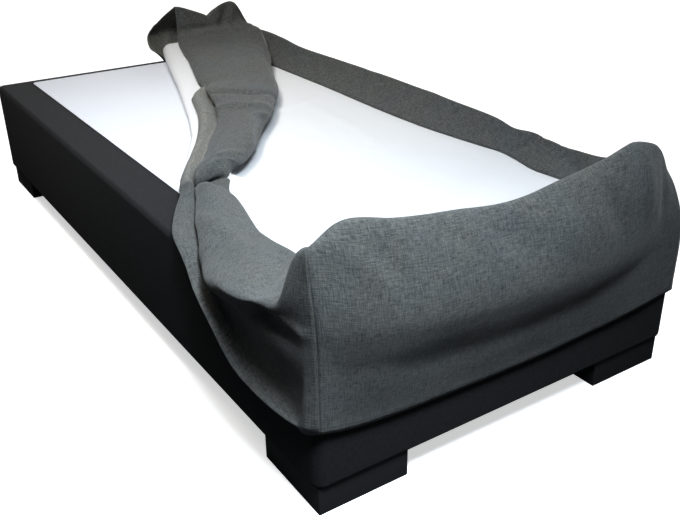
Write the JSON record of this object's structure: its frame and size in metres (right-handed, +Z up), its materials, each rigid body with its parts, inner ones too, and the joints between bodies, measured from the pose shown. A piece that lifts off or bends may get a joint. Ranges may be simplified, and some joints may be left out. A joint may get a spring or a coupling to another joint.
{
  "type": "box spring fitted cover on its bed base",
  "caption": "Fitted cover with a white top panel and wide grey cloth sides, half drawn over a black upholstered box spring that stands on square feet.",
  "frame": {"origin": "centre of the footprint at floor level", "axes": "+Z up, +Y from the dressed foot end to the head end, +X to the long side that the cover's right panel hangs on"},
  "size_m": [0.9544, 2.163, 0.5528],
  "materials": {
    "white_cloth": "soft plain-weave cotton, matt",
    "grey_cloth": "coarse linen-look crosshatch weave, matt",
    "black_upholstery": "black woven upholstery, matt",
    "white_platform": "white non-woven platform cloth, matt",
    "foot_black": "satin moulded plastic"
  },
  "bodies": {
    "root": {"cover_top_panel": "white_cloth", "cover_foot_panel": "grey_cloth", "cover_left_panel": "grey_cloth", "cover_right_panel": "grey_cloth", "cover_head_panel": "grey_cloth", "base_body": "black_upholstery", "base_top": "white_platform", "foot_front_left": "foot_black", "foot_front_right": "foot_black", "foot_back_left": "foot_black", "foot_back_right": "foot_black"}
  },
  "joints": []
}
